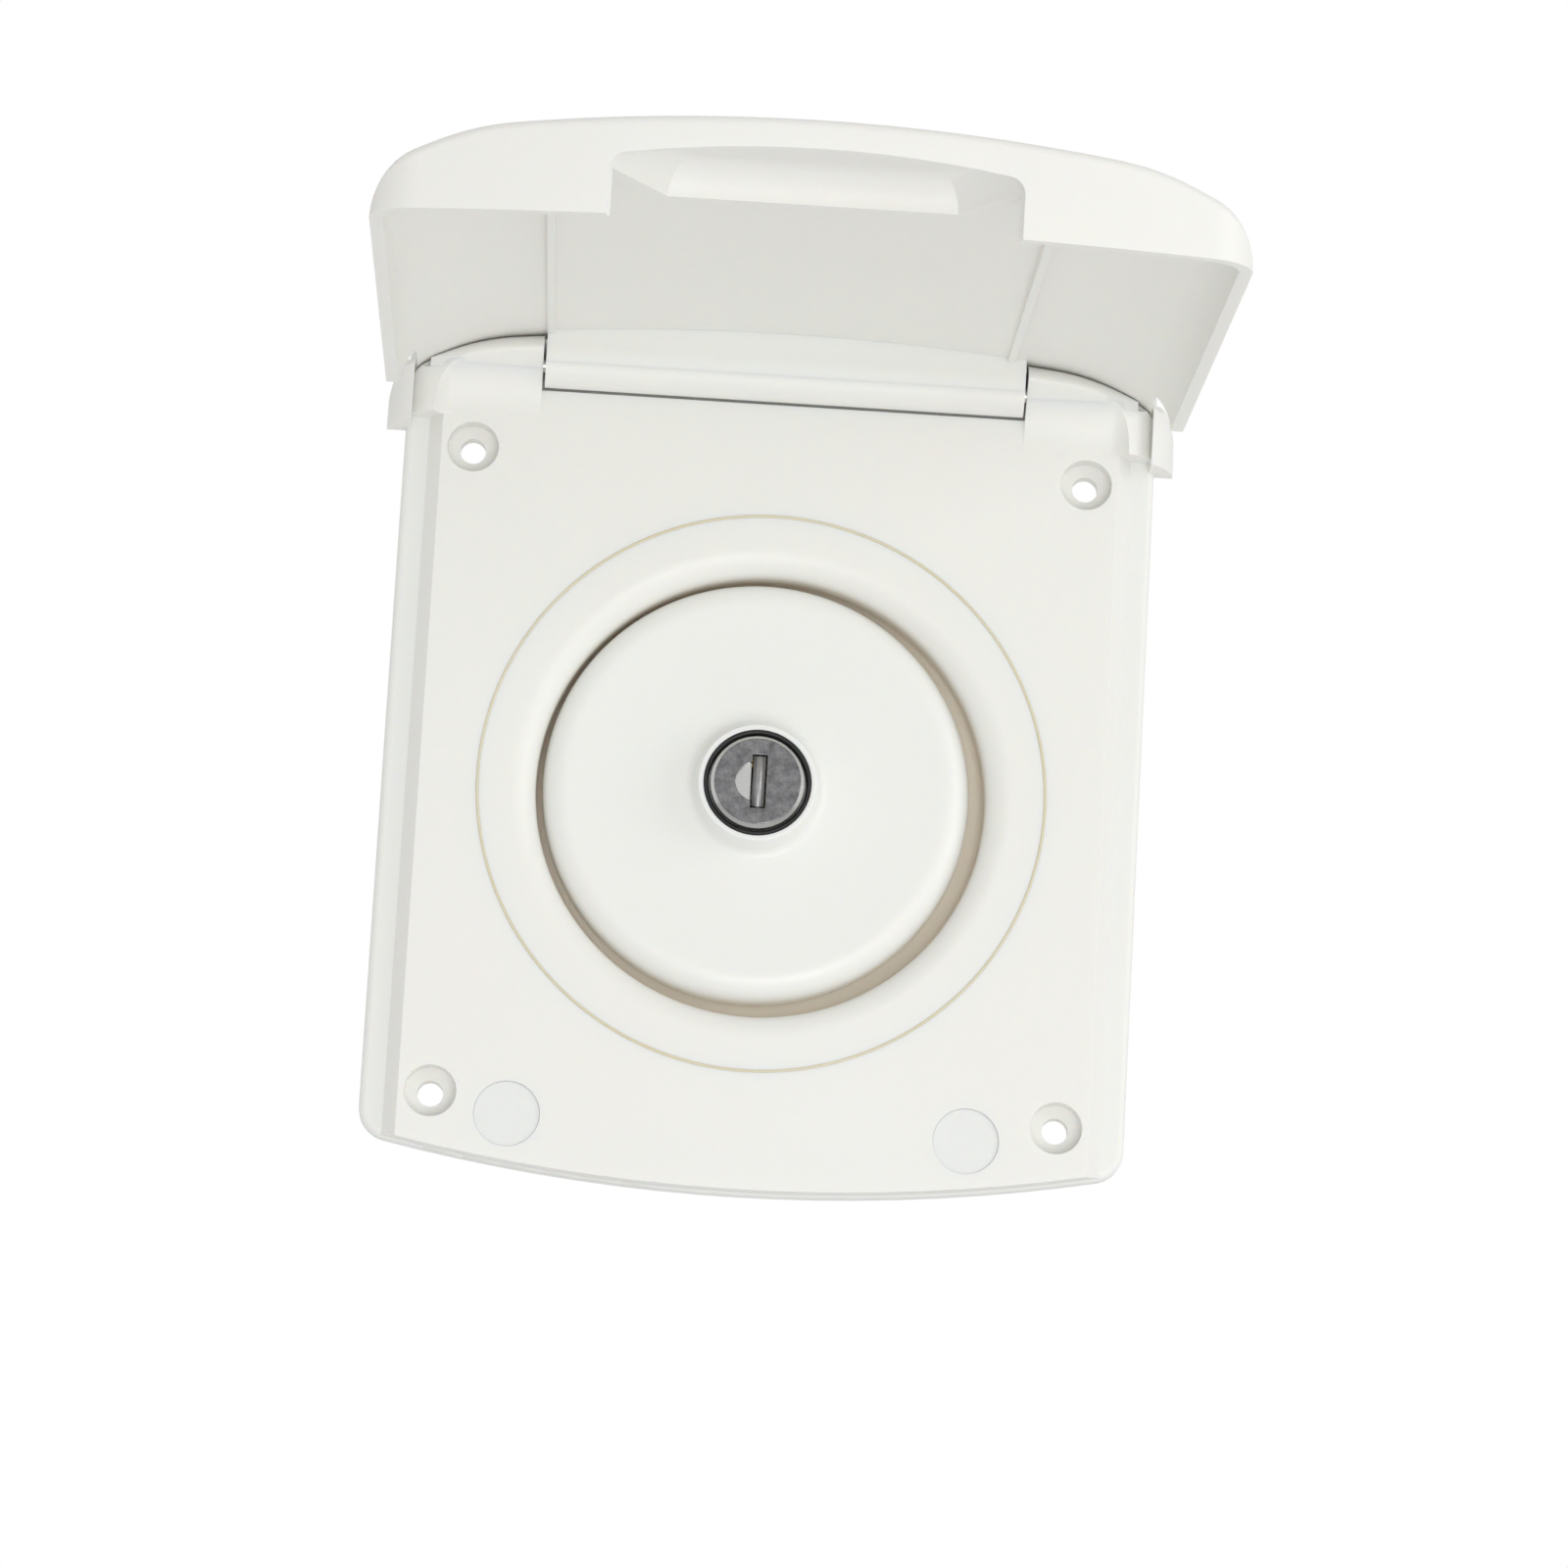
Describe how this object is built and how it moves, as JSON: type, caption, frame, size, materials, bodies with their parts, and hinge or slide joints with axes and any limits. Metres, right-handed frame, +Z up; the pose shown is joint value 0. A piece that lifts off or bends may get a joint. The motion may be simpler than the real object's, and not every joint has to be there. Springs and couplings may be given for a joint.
{
  "type": "rv water inlet",
  "caption": "Flush-mount caravan gravity water inlet: white wall plate, magnetic hinged weather lid, keyed filler cap in a round recess, barbed hose tail and vent behind.",
  "frame": {"origin": "middle of the four wall-screw holes, on the wall's outer face, where the plate's back lies", "axes": "+Z up the wall to the hinge, -Y out of the wall towards the user, +X to the user's right"},
  "size_m": [0.1476, 0.2421, 0.1638],
  "materials": {
    "shell_white": "satin moulded, fine grain",
    "bowl_white": "satin moulded",
    "cap_white": "satin moulded",
    "cover_white": "satin moulded",
    "inner_white": "matt moulded",
    "foam": "closed-cell foam",
    "seal_black": "matt",
    "ring_black": "satin",
    "steel": "ground",
    "magnet": "nickel plated",
    "zinc": "cast zinc, nickel plated",
    "plug_nickel": "worn nickel plate",
    "brass": "stamped",
    "shutter_grey": "stamped"
  },
  "bodies": {
    "inlet": {"wall_plate": "shell_white", "wall_gasket": "foam", "filler_bowl": "bowl_white", "filler_neck": "inner_white", "cap_keeper": "inner_white", "neck_seal": "seal_black", "hose_adapter": "inner_white", "adapter_screws": "steel", "hinge_pin_left": "steel", "hinge_pin_right": "steel", "plate_magnet_left": "magnet", "plate_magnet_right": "magnet", "magnet_pad_left": "cover_white", "magnet_pad_right": "cover_white"},
    "lid": {"hinged_lid": "shell_white", "lid_magnet_left": "magnet", "lid_magnet_right": "magnet"},
    "cap": {"cap_head": "cap_white", "cap_cup": "inner_white", "cap_screws": "steel", "cap_seal": "seal_black", "lock_barrel": "zinc", "lock_ring": "ring_black", "lock_nut": "zinc"},
    "lock": {"lock_plug": "plug_nickel", "lock_wafers": "brass", "cam_plate": "steel", "cam_screw": "steel"},
    "shutter": {"keyway_shutter": "shutter_grey"}
  },
  "joints": [
    {"name": "lid_hinge", "type": "hinge", "parent": "inlet", "child": "lid", "pos_m": [0, -0.0081, 0.07695], "axis": [-1, 0, 0], "range_deg": [-86.4, 6]},
    {"name": "cap_lift", "type": "slide", "parent": "inlet", "child": "cap", "axis": [0, -1, 0], "range_m": [0, 0.07]},
    {"name": "lock_turn", "type": "hinge", "parent": "cap", "child": "lock", "pos_m": [-0.0009, -0.0065, -0.00055], "axis": [0, -1, 0], "range_deg": [0, 90]},
    {"name": "shutter_push", "type": "slide", "parent": "lock", "child": "shutter", "axis": [0, 1, 0], "range_m": [0, 0.002], "stiffness_N_per_m": 60}
  ]
}
